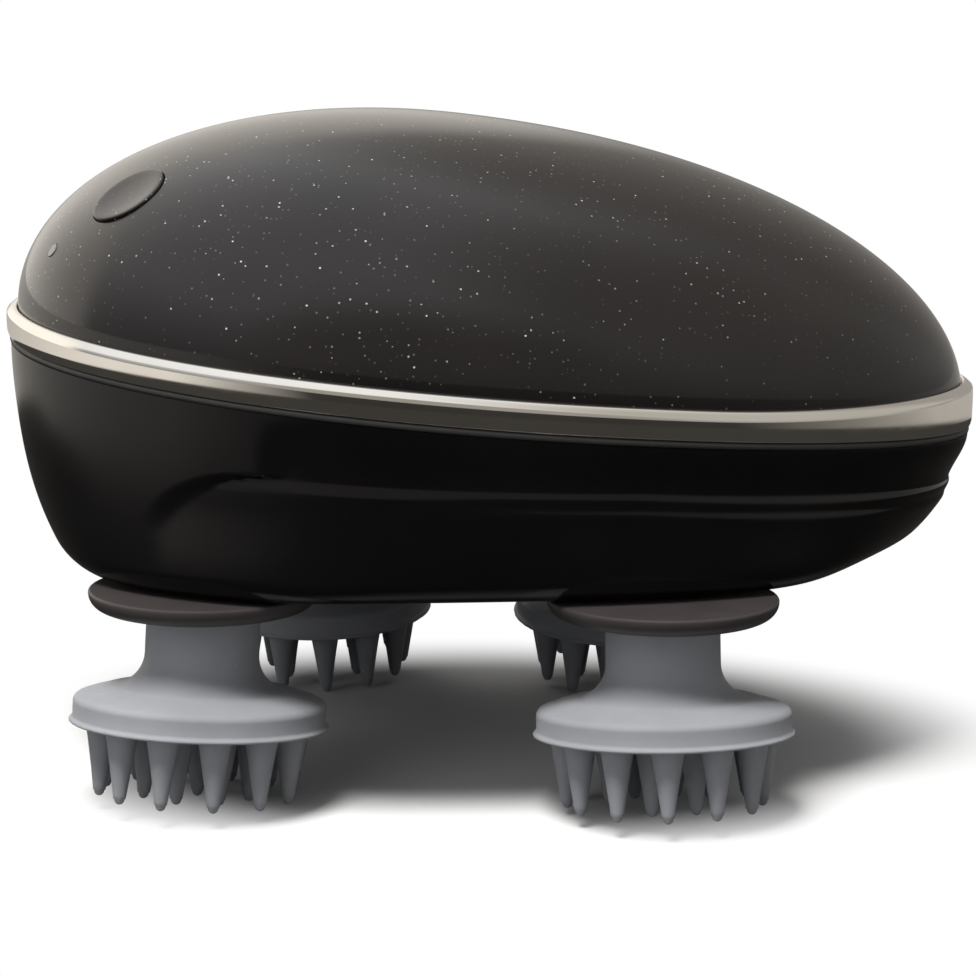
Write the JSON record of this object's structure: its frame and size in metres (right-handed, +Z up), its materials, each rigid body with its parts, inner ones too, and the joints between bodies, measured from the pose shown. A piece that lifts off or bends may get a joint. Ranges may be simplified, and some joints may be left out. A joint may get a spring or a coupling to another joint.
{
  "type": "electric scalp massager",
  "caption": "Cordless scalp massager: egg-shaped black housing with a bright band over kneading silicone heads, with its gear train, motor, battery, button and port cover.",
  "frame": {"origin": "on the floor under the middle of the housing, at the tips of the silicone heads", "axes": "+X to the narrow end, +Z up, -Y to the side nearer the button"},
  "size_m": [0.1306, 0.1053, 0.0868],
  "materials": {
    "dome_paint": "gloss black lacquer with fine metal flake",
    "hull_plastic": "satin gloss black",
    "band_chrome": "mirror bright",
    "gasket_rubber": "matte",
    "inner_plastic": "moulded",
    "bush_bronze": "sintered",
    "seal_rubber": "matte",
    "pin_steel": "ground",
    "motor_steel": "nickel plated",
    "reducer_metal": "cast",
    "screw_steel": "zinc plated",
    "battery_wrap": "shrink wrap",
    "board_green": "solder mask",
    "switch_black": "moulded",
    "plunger_plastic": "moulded",
    "socket_steel": "stamped",
    "light_clear": "frosted",
    "button_paint": "gloss black lacquer",
    "flap_rubber": "matte",
    "gear_plastic": "acetal",
    "pinion_brass": "machined",
    "collar_plastic": "satin",
    "core_plastic": "moulded",
    "silicone": "soft matte"
  },
  "bodies": {
    "housing": {"top_shell": "dome_paint", "lower_shell": "hull_plastic", "chrome_band": "band_chrome", "seam_gasket": "gasket_rubber", "gearbox_cover": "inner_plastic", "shaft_bushes": "bush_bronze", "shaft_seals": "seal_rubber", "sun_axle": "pin_steel", "idler_pin": "pin_steel", "motor_can": "motor_steel", "motor_reducer": "reducer_metal", "motor_screws": "screw_steel", "cover_screws": "screw_steel", "housing_screws": "screw_steel", "battery": "battery_wrap", "battery_tray": "inner_plastic", "circuit_board": "board_green", "board_screws": "screw_steel", "tact_switch": "switch_black", "charging_socket": "socket_steel", "light_pipe": "light_clear"},
    "button": {"switch_plunger": "plunger_plastic", "power_button": "button_paint"},
    "port_flap": {"port_cover": "flap_rubber"},
    "sun": {"sun_gear": "gear_plastic"},
    "idler": {"idler_gear": "gear_plastic"},
    "rotor": {"motor_shaft": "pin_steel", "motor_pinion": "pinion_brass"},
    "head_1": {"head_gear_1": "gear_plastic", "head_shaft_1": "pin_steel", "collar_1": "collar_plastic", "head_core_1": "core_plastic", "silicone_head_1": "silicone"},
    "head_2": {"head_gear_2": "gear_plastic", "head_shaft_2": "pin_steel", "collar_2": "collar_plastic", "head_core_2": "core_plastic", "silicone_head_2": "silicone"},
    "head_3": {"head_gear_3": "gear_plastic", "head_shaft_3": "pin_steel", "collar_3": "collar_plastic", "head_core_3": "core_plastic", "silicone_head_3": "silicone"},
    "head_4": {"head_gear_4": "gear_plastic", "head_shaft_4": "pin_steel", "collar_4": "collar_plastic", "head_core_4": "core_plastic", "silicone_head_4": "silicone"}
  },
  "joints": [
    {"name": "head_1_spin", "type": "hinge", "parent": "housing", "child": "head_1", "pos_m": [-0.03125, -0.03071, 0.04], "axis": [0, 0, 1], "continuous": true},
    {"name": "head_2_spin", "type": "hinge", "parent": "housing", "child": "head_2", "pos_m": [0.02155, -0.03071, 0.04], "axis": [0, 0, 1], "continuous": true},
    {"name": "head_3_spin", "type": "hinge", "parent": "housing", "child": "head_3", "pos_m": [-0.03125, 0.03071, 0.04], "axis": [0, 0, 1], "continuous": true},
    {"name": "head_4_spin", "type": "hinge", "parent": "housing", "child": "head_4", "pos_m": [0.02155, 0.03071, 0.04], "axis": [0, 0, 1], "continuous": true},
    {"name": "sun_spin", "type": "hinge", "parent": "housing", "child": "sun", "pos_m": [-0.00485, 0, 0.04], "axis": [0, 0, 1], "continuous": true},
    {"name": "idler_spin", "type": "hinge", "parent": "housing", "child": "idler", "pos_m": [0.03565, 0, 0.04], "axis": [0, 0, 1], "continuous": true},
    {"name": "rotor_spin", "type": "hinge", "parent": "housing", "child": "rotor", "pos_m": [0.02005, 0, 0.04], "axis": [0, 0, 1], "continuous": true},
    {"name": "button_press", "type": "slide", "parent": "housing", "child": "button", "axis": [0.4309, 0.3876, -0.8149], "range_m": [0, 0.0005], "stiffness_N_per_m": 1500},
    {"name": "port_flap_hinge", "type": "hinge", "parent": "housing", "child": "port_flap", "pos_m": [-0.0629, 0, 0.0429], "axis": [0, -1, 0], "range_deg": [0, 110]}
  ],
  "couplings": [
    {"joint": "head_2_spin", "follows": "head_1_spin", "ratio": 1},
    {"joint": "head_3_spin", "follows": "head_1_spin", "ratio": 1},
    {"joint": "head_4_spin", "follows": "head_1_spin", "ratio": 1},
    {"joint": "sun_spin", "follows": "head_1_spin", "ratio": -0.15385},
    {"joint": "idler_spin", "follows": "head_1_spin", "ratio": 1},
    {"joint": "rotor_spin", "follows": "head_1_spin", "ratio": -3.3333}
  ]
}
